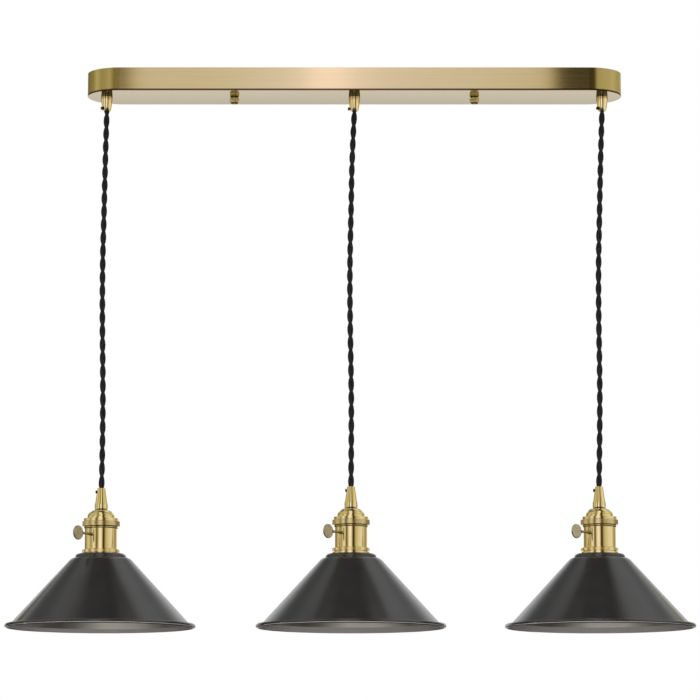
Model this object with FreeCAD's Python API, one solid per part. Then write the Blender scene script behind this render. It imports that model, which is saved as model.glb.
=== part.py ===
import FreeCAD, Part
import math
import os

# A pendant lamp with three shades on one bar, in millimetres. The origin is the middle of the ceiling
# strap's top face, in the ceiling's plane. x runs along the bar, y from front to back, and z up.

# The three pendants, from left to right
PENDANTS = {"left": -1, "middle": 0, "right": 1}
PENDANT_SPACING = 325.0

# The bar canopy: a brass tray with round ends, open towards the ceiling
BAR_OVERHANG = 25.5
BAR_WIDTH = 90.0
BAR_HEIGHT = 30.0
BAR_WALL = 1.5
BAR_EDGE_ROUND = 1.0

# The strap that is screwed to the ceiling, and the two studs that carry the canopy
STRAP_WIDTH = 30.0
STRAP_THICKNESS = 2.0
STRAP_END = 15.0
CEILING_SLOT_SPACING = 150.0
CEILING_SLOT_LENGTH = 30.0
CEILING_SLOT_WIDTH = 5.2
SUPPLY_HOLE_R = 7.0
SUPPLY_HOLE_X = -30.0
STUD_SPACING = 315.0
STUD_R = 2.0
STUD_HOLE_GAP = 0.2
STUD_NUT_ACROSS = 7.0
STUD_NUT_HEIGHT = 3.2
FINIAL_R = 5.85
FINIAL_HEIGHT = 9.3
FINIAL_BORE_DEPTH = 6.5
FINIAL_NECK_R = 4.9
FINIAL_NECK_HEIGHT = 1.0

# Gaps: between a thread and its nut, drawn plain, between seated faces, and round a turning shaft
THREAD_GAP = 0.05
SEAT_GAP = 0.05
RUNNING_GAP = 0.08

# The flex, a twisted pair in a plain tube of the pair's width, and the gap round it in a grip
FLEX_R = 3.5
FLEX_GAP = 0.3
# Each one's route from the canopy grip's mouth to the lamp grip's mouth, as (x, z) from the first mouth
FLEX_ROUTES = {
    "left": [
        (0.0, 0.0),
        (-1.3, -60.0),
        (-2.2, -128.0),
        (-3.6, -203.0),
        (-3.1, -281.0),
        (-1.4, -357.0),
        (-1.0, -431.0),
        (-1.85, -497.0),
    ],
    "middle": [
        (0.0, 0.0),
        (-3.2, -60.0),
        (-4.3, -128.0),
        (-6.1, -203.0),
        (-5.7, -281.0),
        (-4.2, -357.0),
        (-4.0, -430.0),
        (-4.5, -494.9),
    ],
    "right": [
        (0.0, 0.0),
        (-2.5, -60.0),
        (-4.4, -128.0),
        (-6.8, -203.0),
        (-7.2, -281.0),
        (-6.5, -357.0),
        (-7.4, -430.0),
        (-9.1, -494.9),
    ],
}
# Inside the canopy a lead leaves its grip upwards, bends over and runs level to the terminal block,
# by way of these points, as (x, y). The last one lies straight out from the lead's pole.
LEAD_DEPTH = 14.0
LEAD_BEND_R = 8.5
LEAD_ROUTES = {
    "left": [(-288, -6), (-240, -13), (-175, -16), (-105, -13), (-40, -10.5), (20, -13.5), (64, -12)],
    "middle": [(38, 7), (72, 12)],
    "right": [(288, 7), (240, 13), (180, 12)],
}

# The cord grips: a turned body, a threaded stub, a lock nut and a screw that bites the flex
STUB_WALL = 1.15
CANOPY_GRIP_R = 7.7
CANOPY_GRIP_LENGTH = 18.7
CANOPY_GRIP_WAIST_R = 6.95
CANOPY_GRIP_WAIST_DROP = 9.9
CANOPY_STUB_LENGTH = 7.0
GRIP_NOSE_WALL = 1.4
GRIP_NUT_ACROSS = 14.0
GRIP_NUT_HEIGHT = 3.0
LAMP_GRIP_TOP_R = 5.15
LAMP_GRIP_FOOT_R = 7.95
LAMP_GRIP_LENGTH = 19.8
LAMP_STUB_LENGTH = 8.0
SCREW_R = 1.45
SCREW_HEAD_R = 2.15
CANOPY_SCREW_HEAD_LENGTH = 2.0
LAMP_SCREW_HEAD_LENGTH = 1.2
SCREW_SLOT_WIDTH = 0.6
SCREW_SLOT_DEPTH = 0.8
CANOPY_SCREW_RISE = 3.1
LAMP_SCREW_DROP = 4.7
SCREW_OUT = 0.2
# How far each canopy grip's screw is turned from the left towards the front
CANOPY_SCREW_TURNS = {"left": 40.0, "middle": 2.0, "right": 39.0}

# The terminal block under the strap: three poles side by side
BLOCK_X = 115.0
BLOCK_DEPTH = 17.0
POLE_WIDTH = 10.0
POLE_PITCH = 12.0
POLES = 3
POLE_HEIGHT = 13.0
BLOCK_WEB_HEIGHT = 5.0
WIRE_HOLE_R = 2.2
TERMINAL_SCREW_R = 1.7
TERMINAL_SCREW_LENGTH = 4.0
TERMINAL_SCREW_SPACING = 9.0

# The lampholder's cap: a barrel neck, a dome with a straight foot, and a flange that the union ring
# holds down
NECK_R = 8.35
NECK_BELLY_R = 8.65
NECK_LENGTH = 8.8
DOME_HEIGHT = 9.5
DOME_FOOT_HEIGHT = 1.4
CAP_WALL = 1.0
CAP_FLANGE_INSET = 0.4
CAP_FLANGE_THICKNESS = 1.2

# The knurled union ring: a lip over the cap's flange, the knurled band and a half-round bead at its
# foot, and how far each of them stands out from the shell
RING_LIP_OUT = 1.45
RING_LIP_HEIGHT = 3.5
RING_LIP_THICKNESS = 2.0
RING_BAND_OUT = 2.9
RING_BAND_HEIGHT = 6.7
RING_BEAD_OUT = 1.2
RING_BEAD_HEIGHT = 2.9
RING_BEVEL = 0.4

# The lampholder's shell: the body with a slot for the key, and below it the threaded skirt
SHELL_R = 21.0
SHELL_WALL = 1.0
SHELL_BODY_LENGTH = 35.9
SKIRT_STEP = 0.8
SKIRT_WALL = 1.2
SKIRT_LENGTH = 24.0
LEDGE_DEPTH = 1.5

# The switch key: a round paddle on a stem, and the spindle and cam that it turns. The first value is
# how far each lamp's key stands from the left towards the front.
KEY_TURNS = {"left": 54.3, "middle": 50.0, "right": 45.7}
KEY_DEPTH = 17.5
KEY_REACH = 45.5
PADDLE_R = 9.3
PADDLE_THICKNESS = 2.2
PADDLE_BEVEL = 0.5
STEM_R = 1.5
STEM_ROOT_R = 2.4
STEM_ROOT_LENGTH = 2.5
STEM_COLLAR_R = 2.6
STEM_COLLAR_LENGTH = 1.6
KEY_GAP = 0.4
SPINDLE_R = 1.75
SPINDLE_REACH = 16.4
SPINDLE_TAIL = 10.0
CAM_R = 5.4
CAM_FLAT = 4.0
CAM_LENGTH = 8.0
CAM_GAP = 0.8

# The porcelain core, the screw shell for the bulb's cap, and the spring contact in a pocket above the
# recess for the screw shell
CORE_GAP = 0.3
CORE_DROP = 2.6
CORE_RISE = 1.5
SOCKET_R = 13.35
SCREW_SHELL_WALL = 0.4
SCREW_SHELL_LENGTH = 22.0
SCREW_SHELL_LIP_R = 9.0
CONTACT_WIDTH = 6.0
CONTACT_SHEET = 0.5
CONTACT_REACH = 7.0
CONTACT_DROP = 3.2
CONTACT_POCKET_R = 8.5
CONTACT_POCKET_DEPTH = 4.2

# The two rings on the skirt that hold the shade's top plate between them, how far they stand out from
# the skirt, and the washers that lie between the upper one and the shade
SHADE_RING_OUT = 3.65
SHADE_RING_TOP_OUT = 1.2
SHADE_RING_COVE = 0.9
SHADE_RING_BAND = 3.9
SHADE_RING_NECK_OUT = 1.7
SHADE_RING_NECK = 1.2
WASHERS = {"left": 0, "middle": 1, "right": 1}
WASHER_OUT = 3.9
WASHER_THICKNESS = 2.1
SHADE_NUT_OUT = 4.8
SHADE_NUT_BODY_OUT = 2.6
SHADE_NUT_HEIGHT = 6.0
SHADE_NUT_FLANGE = 1.6

# The spun shade: a flat top, a rounded collar, a shoulder, a cone and a rolled rim
SHADE_R = 122.6
SHADE_HEIGHT = 92.8
SHADE_SHEET = 0.9
SHOULDER_R = 11.50671
SHADE_HOLE_GAP = 0.4
COLLAR_R = 32.75
COLLAR_HEIGHT = 4.2
GROOVE_DEPTH = 0.9
GROOVE_HEIGHT = 0.7
BEAD_R = 2.7

# Places that follow from the sizes
vec = FreeCAD.Vector
UP = vec(0, 0, 1)
BAR_LENGTH = 2 * (PENDANT_SPACING + BAR_OVERHANG)
UNDERSIDE = -BAR_HEIGHT
FLOOR_TOP = UNDERSIDE + BAR_WALL
GRIP_BORE_R = FLEX_R + FLEX_GAP
STUB_R = GRIP_BORE_R + STUB_WALL
MOUTH_Z = UNDERSIDE - CANOPY_GRIP_LENGTH
WIRE_Z = -LEAD_DEPTH / 2

# Heights in a lamp, from its grip's mouth
CAP_TOP = -LAMP_GRIP_LENGTH
DOME_TOP = CAP_TOP - NECK_LENGTH
DOME_FOOT = DOME_TOP - DOME_HEIGHT
RING_TOP = DOME_FOOT - DOME_FOOT_HEIGHT
FLANGE_TOP = RING_TOP - RING_LIP_THICKNESS - SEAT_GAP
SHELL_TOP = FLANGE_TOP - CAP_FLANGE_THICKNESS - SEAT_GAP
SHELL_STEP = SHELL_TOP - SHELL_BODY_LENGTH
SHELL_FOOT = SHELL_STEP - SKIRT_LENGTH
LEDGE = SHELL_STEP - LEDGE_DEPTH
KEY_Z = SHELL_TOP - KEY_DEPTH
CORE_TOP = SHELL_TOP - CORE_DROP
CORE_FOOT = SHELL_FOOT + CORE_RISE
RECESS_FLOOR = CORE_FOOT + SCREW_SHELL_LENGTH + SEAT_GAP
CONTACT_FLOOR = RECESS_FLOOR + CONTACT_POCKET_DEPTH
SHADE_RING_TOP = SHELL_STEP - SEAT_GAP
SHADE_RING_FOOT = SHADE_RING_TOP - SHADE_RING_COVE - SHADE_RING_BAND - SHADE_RING_NECK

# Radii that follow from the sizes
GRIP_NOSE_R = GRIP_BORE_R + GRIP_NOSE_WALL
DOME_R = NECK_R + DOME_HEIGHT
RING_BORE_R = SHELL_R + THREAD_GAP
SHELL_BORE_R = SHELL_R - SHELL_WALL
SKIRT_R = SHELL_R - SKIRT_STEP
SKIRT_BORE_R = SKIRT_R - SKIRT_WALL
SKIRT_RING_BORE_R = SKIRT_R + THREAD_GAP
SHADE_HOLE_R = SKIRT_R + SHADE_HOLE_GAP


def at(point):
    """A point of a turned piece's outline, given as (radius, height)."""
    return vec(point[0], 0, point[1])


def outline_face(start, *steps):
    """A flat face whose outline goes from start through steps and back: each step is a point, for a
    straight edge, or a pair of points, the middle and the end of an arc."""
    edges = []
    here = start
    for step in steps:
        end = step
        if isinstance(step[0], tuple):
            middle, end = step
            edges.append(Part.Arc(at(here), at(middle), at(end)).toShape())
        else:
            edges.append(Part.makeLine(at(here), at(end)))
        here = end
    edges.append(Part.makeLine(at(here), at(start)))
    return Part.Face(Part.Wire(edges))


def turned(start, *steps):
    """A piece turned on a lathe about the z axis."""
    solid = outline_face(start, *steps).revolve(vec(0, 0, 0), UP, 360)
    if solid.Volume < 0:
        solid.reverse()
    return solid


def on_circle(centre, radius, degrees):
    """The outline point at an angle on a circle round centre."""
    angle = math.radians(degrees)
    return (centre[0] + radius * math.cos(angle), centre[1] + radius * math.sin(angle))


def rod(radius, start, end):
    """A round bar from one point to another."""
    return Part.makeCylinder(radius, (end - start).Length, start, end - start)


def block(low, high):
    """A box from its low corner to its high corner."""
    size = high - low
    return Part.makeBox(size.x, size.y, size.z, low)


def turn(shape, degrees):
    """A copy of shape turned about the z axis."""
    result = shape.copy()
    result.rotate(vec(0, 0, 0), UP, degrees)
    return result


def move(shape, x=0.0, y=0.0, z=0.0):
    """A copy of shape moved to another place."""
    result = shape.copy()
    result.translate(vec(x, y, z))
    return result


def round_ended(length, width, height):
    """An upright prism over a bar with round ends, centred on the origin, from z = 0 up."""
    half = width / 2
    flat = length / 2 - half
    front = Part.makeLine(vec(-flat, -half, 0), vec(flat, -half, 0))
    right = Part.Arc(vec(flat, -half, 0), vec(flat + half, 0, 0), vec(flat, half, 0)).toShape()
    back = Part.makeLine(vec(flat, half, 0), vec(-flat, half, 0))
    left = Part.Arc(vec(-flat, half, 0), vec(-flat - half, 0, 0), vec(-flat, -half, 0)).toShape()
    return Part.Face(Part.Wire([front, right, back, left])).extrude(vec(0, 0, height))


def hexagon_nut(across, height, hole_r):
    """A hexagon nut standing on z = 0, with two flats towards the front and the back."""
    corner_r = across / math.sqrt(3)
    corners = [turn(Part.Vertex(corner_r, 0, 0), 60 * i).Point for i in range(7)]
    nut = Part.Face(Part.makePolygon(corners)).extrude(vec(0, 0, height))
    return nut.cut(rod(hole_r, vec(0, 0, -1), vec(0, 0, height + 1)))


def rounded_path(points, first_bend_r=None):
    """Straight runs joined by tangent arcs that are as large as the runs allow. Returns the edges
    and the arcs' radii. The first arc can be given a smaller radius."""
    edges = []
    radii = []
    start = points[0]
    for before, corner, after in zip(points, points[1:], points[2:]):
        into = (corner - before).normalize()
        out = (after - corner).normalize()
        half_turn = into.getAngle(out) / 2
        reach = 0.45 * min((corner - before).Length, (after - corner).Length)
        if first_bend_r and not radii:
            reach = first_bend_r * math.tan(half_turn)
        radii.append(reach / math.tan(half_turn))
        arc_start = corner - into * reach
        arc_end = corner + out * reach
        inwards = (out - into).normalize()
        middle = corner + inwards * (radii[-1] / math.cos(half_turn) - radii[-1])
        edges.append(Part.LineSegment(start, arc_start).toShape())
        edges.append(Part.Arc(arc_start, middle, arc_end).toShape())
        start = arc_end
    edges.append(Part.LineSegment(start, points[-1]).toShape())
    return edges, radii


def flex_tube(name, points, first_bend_r=None):
    """The flex's plain tube along points, with flat ends."""
    edges, radii = rounded_path(points, first_bend_r)
    path = Part.Wire(edges)
    ring = Part.Wire(Part.makeCircle(FLEX_R, points[0], points[1] - points[0]))
    tube = path.makePipeShell([ring], True, False)
    expected = math.pi * FLEX_R**2 * path.Length
    print(
        f"{name}: length {path.Length:.1f}, radii {', '.join(f'{r:.0f}' for r in radii)},"
        f" volume {tube.Volume / expected:.4f} of its section times its length"
    )
    return tube


def round_end(centre, outwards):
    """The flex's domed end, half a ball on centre."""
    return Part.makeSphere(FLEX_R, centre, outwards, 0, 90, 360)


def canopy():
    """The tray, with its holes for the grips and the studs."""
    tray = move(round_ended(BAR_LENGTH, BAR_WIDTH, BAR_HEIGHT), z=UNDERSIDE)
    bottom_edges = [e for e in tray.Edges if abs(e.BoundBox.ZMax - UNDERSIDE) < 0.01]
    tray = tray.makeFillet(BAR_EDGE_ROUND, bottom_edges)
    inside = round_ended(BAR_LENGTH - 2 * BAR_WALL, BAR_WIDTH - 2 * BAR_WALL, BAR_HEIGHT)
    tray = tray.cut(move(inside, z=FLOOR_TOP))
    for side in PENDANTS.values():
        tray = tray.cut(through_floor(side * PENDANT_SPACING, STUB_R + THREAD_GAP))
    for side in (-1, 1):
        tray = tray.cut(through_floor(side * STUD_SPACING / 2, STUD_R + STUD_HOLE_GAP))
    return tray


def through_floor(x, radius):
    """A drill through the canopy's floor on the bar's middle line."""
    return rod(radius, vec(x, 0, UNDERSIDE - 1), vec(x, 0, FLOOR_TOP + 1))


def ceiling_strap():
    """The steel strap, with two slots for the ceiling screws and a hole for the supply cable."""
    strap = round_ended(STUD_SPACING + 2 * STRAP_END, STRAP_WIDTH, STRAP_THICKNESS)
    slot = move(round_ended(CEILING_SLOT_LENGTH, CEILING_SLOT_WIDTH, STRAP_THICKNESS + 2), z=-1)
    for side in (-1, 1):
        strap = strap.cut(move(slot, x=side * CEILING_SLOT_SPACING / 2))
        strap = strap.cut(through_strap(side * STUD_SPACING / 2, STUD_R + THREAD_GAP))
    strap = strap.cut(through_strap(SUPPLY_HOLE_X, SUPPLY_HOLE_R))
    return move(strap, z=-STRAP_THICKNESS)


def through_strap(x, radius):
    """A drill through the strap while it still stands on z = 0."""
    return rod(radius, vec(x, 0, -1), vec(x, 0, STRAP_THICKNESS + 1))


def strap_studs():
    """The two threaded studs, from the strap down into the finial nuts."""
    foot = UNDERSIDE - FINIAL_BORE_DEPTH + SEAT_GAP
    stud = rod(STUD_R, vec(0, 0, foot), vec(0, 0, 0))
    return pair_at_studs(stud)


def pair_at_studs(shape):
    """Two copies of shape, one at each stud."""
    return Part.makeCompound([move(shape, x=side * STUD_SPACING / 2) for side in (-1, 1)])


def stud_nuts():
    """The nuts that lock the studs under the strap."""
    nut = hexagon_nut(STUD_NUT_ACROSS, STUD_NUT_HEIGHT, STUD_R + THREAD_GAP)
    return pair_at_studs(move(nut, z=-STRAP_THICKNESS - STUD_NUT_HEIGHT))


def finial_nuts():
    """The two brass nuts below the canopy: a neck, a straight band and a round end, bored blind."""
    bore_r = STUD_R + THREAD_GAP
    band_top = -FINIAL_NECK_HEIGHT
    band_foot = -FINIAL_HEIGHT + FINIAL_R / 2
    nut = turned(
        (bore_r, 0),
        (FINIAL_NECK_R, 0),
        (FINIAL_NECK_R, band_top),
        (FINIAL_R, band_top),
        (FINIAL_R, band_foot),
        (on_circle((FINIAL_R / 2, band_foot), FINIAL_R / 2, -45), (FINIAL_R / 2, -FINIAL_HEIGHT)),
        (0, -FINIAL_HEIGHT),
        (0, -FINIAL_BORE_DEPTH),
        (bore_r, -FINIAL_BORE_DEPTH),
    )
    return pair_at_studs(move(nut, z=UNDERSIDE))


def canopy_grip(side):
    """A grip below the canopy: a round-nosed body, and a threaded stub up through the floor."""
    nose, waist, shoulder = canopy_grip_curve()
    grip = turned(
        (GRIP_BORE_R, -CANOPY_GRIP_LENGTH),
        nose,
        (waist, shoulder),
        (STUB_R, 0),
        (STUB_R, CANOPY_STUB_LENGTH),
        (GRIP_BORE_R, CANOPY_STUB_LENGTH),
    )
    grip = grip.cut(canopy_screw_line(side, SCREW_R + THREAD_GAP, 0, CANOPY_GRIP_R + 1))
    return move(grip, z=UNDERSIDE)


def canopy_grip_curve():
    """The three points of the arc that a canopy grip's outside follows, from its nose up."""
    nose = (GRIP_NOSE_R, -CANOPY_GRIP_LENGTH)
    return nose, (CANOPY_GRIP_WAIST_R, -CANOPY_GRIP_WAIST_DROP), (CANOPY_GRIP_R, 0)


def canopy_grip_radius(height):
    """A canopy grip's outer radius at a height."""
    circle = Part.Circle(*(at(point) for point in canopy_grip_curve()))
    return circle.Center.x + math.sqrt(circle.Radius**2 - (height - circle.Center.z) ** 2)


def canopy_screw_line(side, radius, near, far):
    """A round bar along a canopy grip's screw, from one distance off the grip's axis to another."""
    height = -CANOPY_GRIP_LENGTH + CANOPY_SCREW_RISE
    bar = rod(radius, vec(-near, 0, height), vec(-far, 0, height))
    return turn(bar, CANOPY_SCREW_TURNS[side])


def grip_screw(wall_r, head_length):
    """A screw that lies along the x axis: its tip meets the flex and its slotted head stands out."""
    head_start = wall_r + SCREW_OUT
    head_end = head_start + head_length
    shank = rod(SCREW_R, vec(-FLEX_R - SEAT_GAP, 0, 0), vec(-head_start, 0, 0))
    head = rod(SCREW_HEAD_R, vec(-head_start, 0, 0), vec(-head_end, 0, 0))
    slot = block(
        vec(-head_end - 1, -SCREW_SLOT_WIDTH / 2, -SCREW_HEAD_R - 1),
        vec(-head_end + SCREW_SLOT_DEPTH, SCREW_SLOT_WIDTH / 2, SCREW_HEAD_R + 1),
    )
    return shank.fuse(head).cut(slot).removeSplitter()


def canopy_grip_screws():
    """The three black screws low on the canopy grips."""
    height = -CANOPY_GRIP_LENGTH + CANOPY_SCREW_RISE
    wall_r = canopy_grip_radius(height + SCREW_HEAD_R)
    screws = []
    for side, place in PENDANTS.items():
        screw = turn(grip_screw(wall_r, CANOPY_SCREW_HEAD_LENGTH), CANOPY_SCREW_TURNS[side])
        screws.append(move(screw, x=place * PENDANT_SPACING, z=UNDERSIDE + height))
    return Part.makeCompound(screws)


def canopy_grip_nuts():
    """The lock nuts on the grips' stubs, inside the canopy."""
    nut = hexagon_nut(GRIP_NUT_ACROSS, GRIP_NUT_HEIGHT, STUB_R + THREAD_GAP)
    nuts = [move(nut, x=place * PENDANT_SPACING, z=FLOOR_TOP) for place in PENDANTS.values()]
    return Part.makeCompound(nuts)


def terminal_block():
    """Three insulating poles joined by a low web, with wire holes along x and screw holes below."""
    top = -STRAP_THICKNESS
    foot = top - POLE_HEIGHT
    left, right = BLOCK_X - BLOCK_DEPTH / 2, BLOCK_X + BLOCK_DEPTH / 2
    span = (POLES - 1) * POLE_PITCH / 2
    body = block(vec(left, -span, top - BLOCK_WEB_HEIGHT), vec(right, span, top))
    for y in pole_places():
        body = body.fuse(block(vec(left, y - POLE_WIDTH / 2, foot), vec(right, y + POLE_WIDTH / 2, top)))
    body = body.removeSplitter()
    for y in pole_places():
        body = body.cut(rod(WIRE_HOLE_R, vec(left - 1, y, WIRE_Z), vec(right + 1, y, WIRE_Z)))
    for x, y in terminal_places():
        body = body.cut(rod(TERMINAL_SCREW_R + THREAD_GAP, vec(x, y, foot - 1), vec(x, y, WIRE_Z)))
    return body


def pole_places():
    """The y of each pole of the terminal block."""
    return [(i - (POLES - 1) / 2) * POLE_PITCH for i in range(POLES)]


def terminal_places():
    """The x and y of each terminal screw."""
    half = TERMINAL_SCREW_SPACING / 2
    return [(BLOCK_X + side * half, y) for y in pole_places() for side in (-1, 1)]


def terminal_screws():
    """The screws that clamp the wires in the terminal block, flush with its underside."""
    foot = -STRAP_THICKNESS - POLE_HEIGHT
    screw = rod(TERMINAL_SCREW_R, vec(0, 0, foot), vec(0, 0, foot + TERMINAL_SCREW_LENGTH))
    return Part.makeCompound([move(screw, x=x, y=y) for x, y in terminal_places()])


def lead(side):
    """The flex inside the canopy, from its grip to the terminal block."""
    x = PENDANTS[side] * PENDANT_SPACING
    face = BLOCK_X + math.copysign(BLOCK_DEPTH / 2, x - BLOCK_X)
    start = vec(x, 0, MOUTH_Z + FLEX_R + FLEX_GAP)
    way = [(x, 0), *LEAD_ROUTES[side], (face, LEAD_ROUTES[side][-1][1])]
    return flex_tube(f"lead_{side}", [start, *(vec(*point, -LEAD_DEPTH) for point in way)], LEAD_BEND_R)


def flex(side):
    """The hanging flex between the two grips, with domed ends in the grips' mouths."""
    points = [vec(x, 0, z) for x, z in FLEX_ROUTES[side]]
    tube = flex_tube(f"flex_{side}", points)
    tube = tube.fuse(round_end(points[0], points[0] - points[1]))
    tube = tube.fuse(round_end(points[-1], points[-1] - points[-2]))
    return tube.removeSplitter()


def flex_tail():
    """The flex's end in a lamp, from below the grip's mouth into the cap."""
    foot = CAP_TOP - LAMP_STUB_LENGTH - FLEX_R
    return rod(FLEX_R, vec(0, 0, foot), vec(0, 0, -FLEX_R - FLEX_GAP))


def lamp_grip():
    """The tapered grip on a lamp, with a threaded stub down into the cap's neck."""
    stub_foot = CAP_TOP - LAMP_STUB_LENGTH
    grip = turned(
        (GRIP_BORE_R, 0),
        (LAMP_GRIP_TOP_R, 0),
        (LAMP_GRIP_FOOT_R, CAP_TOP),
        (STUB_R, CAP_TOP),
        (STUB_R, stub_foot),
        (GRIP_BORE_R, stub_foot),
    )
    hole = rod(SCREW_R + THREAD_GAP, vec(0, 0, 0), vec(-LAMP_GRIP_FOOT_R, 0, 0))
    return grip.cut(move(hole, z=-LAMP_SCREW_DROP))


def lamp_grip_screw():
    """The black screw in a lamp's grip."""
    taper = (LAMP_GRIP_FOOT_R - LAMP_GRIP_TOP_R) / LAMP_GRIP_LENGTH
    wall_r = LAMP_GRIP_TOP_R + taper * (LAMP_SCREW_DROP + SCREW_HEAD_R)
    return move(grip_screw(wall_r, LAMP_SCREW_HEAD_LENGTH), z=-LAMP_SCREW_DROP)


def socket_cap():
    """The cap: a barrel neck bored for the grip's stub, a thin dome and its flange."""
    neck_middle = (NECK_BELLY_R, CAP_TOP - NECK_LENGTH / 2)
    centre = (NECK_R, DOME_FOOT)
    inner_r = DOME_HEIGHT - CAP_WALL
    neck_bore_r = STUB_R + THREAD_GAP
    flange_r = SHELL_R - CAP_FLANGE_INSET
    flange_foot = FLANGE_TOP - CAP_FLANGE_THICKNESS
    return turned(
        (neck_bore_r, CAP_TOP - SEAT_GAP),
        (NECK_R, CAP_TOP - SEAT_GAP),
        (neck_middle, (NECK_R, DOME_TOP)),
        (on_circle(centre, DOME_HEIGHT, 45), (DOME_R, DOME_FOOT)),
        (DOME_R, FLANGE_TOP),
        (flange_r, FLANGE_TOP),
        (flange_r, flange_foot),
        (DOME_R - CAP_WALL, flange_foot),
        (DOME_R - CAP_WALL, DOME_FOOT),
        (on_circle(centre, inner_r, 45), (NECK_R, DOME_FOOT + inner_r)),
        (neck_bore_r, DOME_FOOT + inner_r),
    )


def union_ring():
    """The ring that screws onto the shell and holds the cap's flange down on it."""
    lip_bore_r = DOME_R + SEAT_GAP
    lip_r = SHELL_R + RING_LIP_OUT
    lip_foot = RING_TOP - RING_LIP_HEIGHT
    band_r = SHELL_R + RING_BAND_OUT
    band_foot = lip_foot - RING_BAND_HEIGHT
    bead_middle = (SHELL_R + RING_BEAD_OUT, band_foot - RING_BEAD_HEIGHT / 2)
    bead_edge_r = RING_BORE_R + RING_BEVEL
    foot = band_foot - RING_BEAD_HEIGHT
    return turned(
        (lip_bore_r, RING_TOP),
        (lip_r, RING_TOP),
        (lip_r, lip_foot),
        (band_r - RING_BEVEL, lip_foot),
        (band_r, lip_foot - RING_BEVEL),
        (band_r, band_foot + RING_BEVEL),
        (band_r - RING_BEVEL, band_foot),
        (bead_edge_r, band_foot),
        (bead_middle, (bead_edge_r, foot)),
        (RING_BORE_R, foot),
        (RING_BORE_R, RING_TOP - RING_LIP_THICKNESS),
        (lip_bore_r, RING_TOP - RING_LIP_THICKNESS),
    )


def socket_shell():
    """The shell: a body with a ledge for the core and a key slot along x, and the narrower skirt."""
    shell = turned(
        (SHELL_BORE_R, SHELL_TOP),
        (SHELL_R, SHELL_TOP),
        (SHELL_R, SHELL_STEP),
        (SKIRT_R, SHELL_STEP),
        (SKIRT_R, SHELL_FOOT),
        (SKIRT_BORE_R, SHELL_FOOT),
        (SKIRT_BORE_R, LEDGE),
        (SHELL_BORE_R, LEDGE),
    )
    slot_half = STEM_R + KEY_GAP
    near = SHELL_BORE_R - 1
    far = SHELL_R + 1
    slot = block(vec(near, -slot_half, KEY_Z), vec(far, slot_half, SHELL_TOP + 1))
    slot = slot.fuse(rod(slot_half, vec(near, 0, KEY_Z), vec(far, 0, KEY_Z)))
    return shell.cut(slot)


def switch_key():
    """The key along x: a round upright paddle, and a stem with a collar that runs to the spindle."""
    paddle_in = KEY_REACH - PADDLE_R
    half = PADDLE_THICKNESS / 2
    paddle = turned(
        (0, -half),
        (PADDLE_R - PADDLE_BEVEL, -half),
        ((PADDLE_R, 0), (PADDLE_R - PADDLE_BEVEL, half)),
        (0, half),
    )
    paddle.rotate(vec(0, 0, 0), vec(1, 0, 0), 90)
    key = move(paddle, x=KEY_REACH)
    key = key.fuse(rod(STEM_R, vec(SPINDLE_REACH, 0, 0), vec(paddle_in + half, 0, 0)))
    root_start = paddle_in - STEM_ROOT_LENGTH
    root = Part.makeCone(STEM_R, STEM_ROOT_R, STEM_ROOT_LENGTH + half, vec(root_start, 0, 0), vec(1, 0, 0))
    collar_start = SHELL_R + KEY_GAP
    collar = rod(STEM_COLLAR_R, vec(collar_start, 0, 0), vec(collar_start + STEM_COLLAR_LENGTH, 0, 0))
    key = key.fuse(root).fuse(collar).removeSplitter()
    return move(key, z=KEY_Z)


def switch_spindle():
    """The steel spindle along x, with the two-sided cam that opens and closes the switch."""
    half = CAM_LENGTH / 2
    cam = rod(CAM_R, vec(-half, 0, 0), vec(half, 0, 0))
    cam = cam.common(block(vec(-half, -CAM_R, -CAM_FLAT), vec(half, CAM_R, CAM_FLAT)))
    spindle = cam.fuse(rod(SPINDLE_R, vec(-SPINDLE_TAIL, 0, 0), vec(SPINDLE_REACH, 0, 0)))
    return move(spindle.removeSplitter(), z=KEY_Z)


def socket_core():
    """The porcelain core: it rests on the shell's ledge, carries the spindle in a bore along x across
    the cam's pocket, and has the recess for the screw shell and the contact's pocket below."""
    core = turned(
        (0, CORE_TOP),
        (SHELL_BORE_R - CORE_GAP, CORE_TOP),
        (SHELL_BORE_R - CORE_GAP, LEDGE + SEAT_GAP),
        (SKIRT_BORE_R - CORE_GAP, LEDGE + SEAT_GAP),
        (SKIRT_BORE_R - CORE_GAP, CORE_FOOT),
        (SOCKET_R + SCREW_SHELL_WALL + SEAT_GAP, CORE_FOOT),
        (SOCKET_R + SCREW_SHELL_WALL + SEAT_GAP, RECESS_FLOOR),
        (CONTACT_POCKET_R, RECESS_FLOOR),
        (CONTACT_POCKET_R, CONTACT_FLOOR),
        (0, CONTACT_FLOOR),
    )
    room = CAM_R + CAM_GAP
    half = CAM_LENGTH / 2 + CAM_GAP
    pocket = block(vec(-half, -room, KEY_Z - room), vec(half, room, CORE_TOP + 1))
    tail_end = -SPINDLE_TAIL - CAM_GAP
    bore = rod(SPINDLE_R + RUNNING_GAP, vec(tail_end, 0, KEY_Z), vec(SHELL_R, 0, KEY_Z))
    return core.cut(pocket).cut(bore)


def screw_shell():
    """The screw shell that takes the bulb's cap, hung from the recess's floor by its inner lip."""
    outer_r = SOCKET_R + SCREW_SHELL_WALL
    top = RECESS_FLOOR - SEAT_GAP
    return turned(
        (SCREW_SHELL_LIP_R, top),
        (outer_r, top),
        (outer_r, top - SCREW_SHELL_LENGTH),
        (SOCKET_R, top - SCREW_SHELL_LENGTH),
        (SOCKET_R, top - SCREW_SHELL_WALL),
        (SCREW_SHELL_LIP_R, top - SCREW_SHELL_WALL),
    )


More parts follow.
